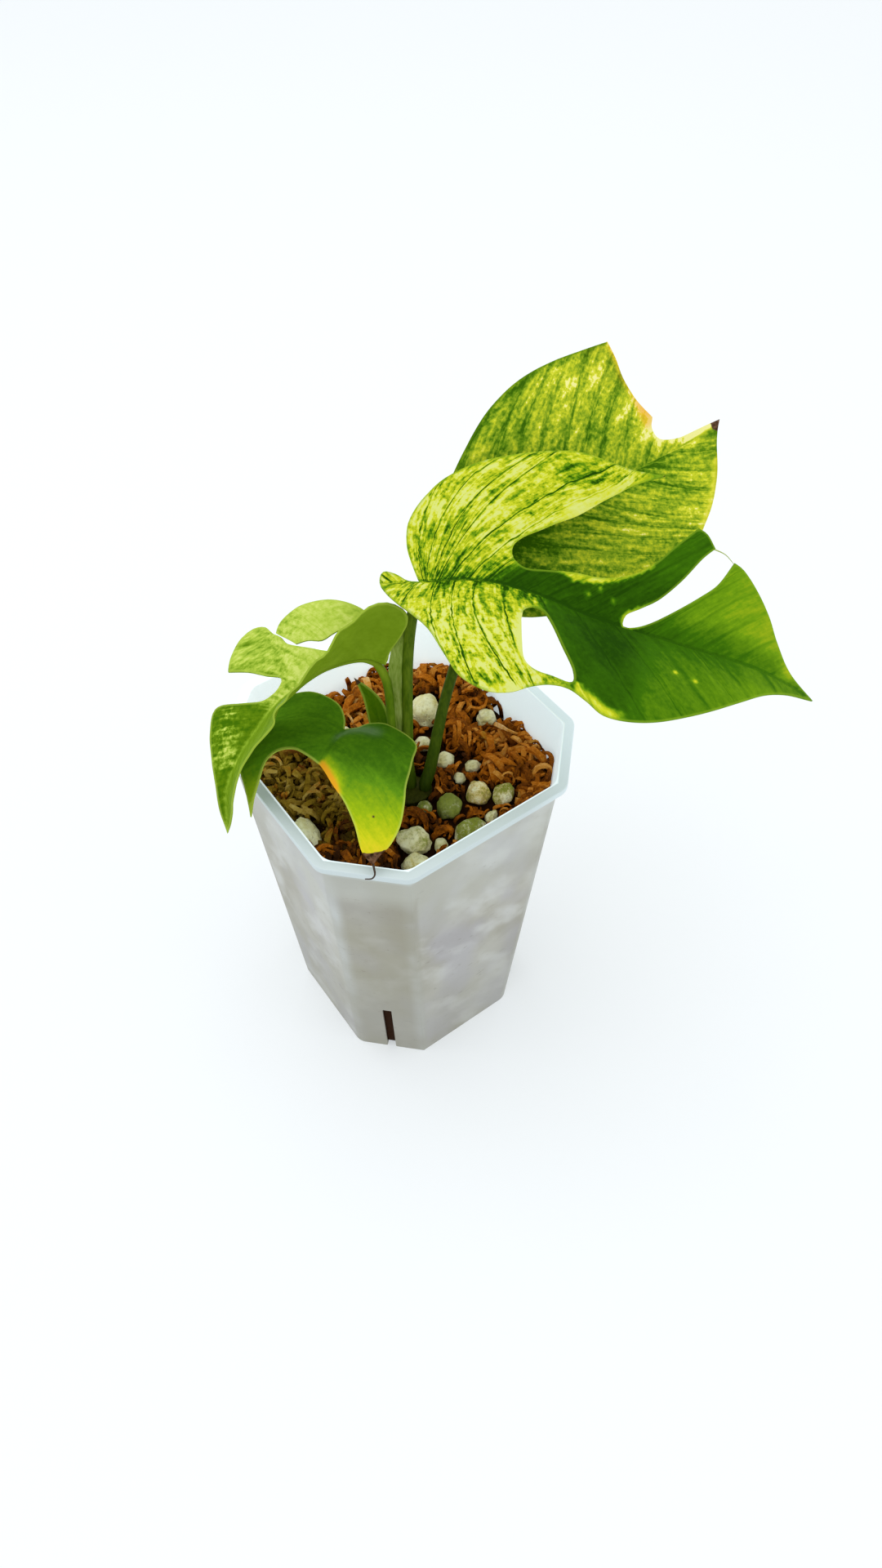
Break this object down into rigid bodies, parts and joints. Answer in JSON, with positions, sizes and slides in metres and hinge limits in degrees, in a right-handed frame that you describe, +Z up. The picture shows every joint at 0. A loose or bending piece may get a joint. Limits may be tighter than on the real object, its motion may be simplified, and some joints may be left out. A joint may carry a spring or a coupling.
{
  "type": "potted rhaphidophora",
  "caption": "Young climbing aroid with lobed variegated leaves on slim petioles, rooted in coconut fibre in a tall square plastic seedling pot with chamfered corners.",
  "frame": {"origin": "middle of the pot's flat foot", "axes": "+Z up, the pot's flat sides face X and Y; the plant faces the corner between +X and -Y and leans to that side"},
  "size_m": [0.1395, 0.1008, 0.1765],
  "materials": {
    "frosted_plastic": "frosted translucent",
    "coconut_fibre": "rough fibre",
    "stem_green": "smooth skin",
    "leaf_variegated": "waxy, marbled yellow-green and dark green",
    "leaf_young": "satin, thin and pale",
    "leaf_yellowing": "satin, green turning yellow",
    "pumice": "porous"
  },
  "bodies": {
    "root": {"pot": "frosted_plastic", "filling": "coconut_fibre", "stem": "stem_green", "leaf_front": "leaf_variegated", "leaf_back": "leaf_variegated", "leaf_left": "leaf_young", "leaf_low": "leaf_yellowing", "sheath_leaf": "leaf_young", "pumice_01": "pumice", "pumice_02": "pumice", "pumice_03": "pumice", "pumice_04": "pumice", "pumice_05": "pumice", "pumice_06": "pumice", "pumice_07": "pumice", "pumice_08": "pumice", "pumice_09": "pumice", "pumice_10": "pumice", "pumice_11": "pumice", "pumice_12": "pumice", "pumice_13": "pumice", "pumice_14": "pumice", "pumice_15": "pumice", "pumice_16": "pumice", "pumice_17": "pumice"}
  },
  "joints": []
}
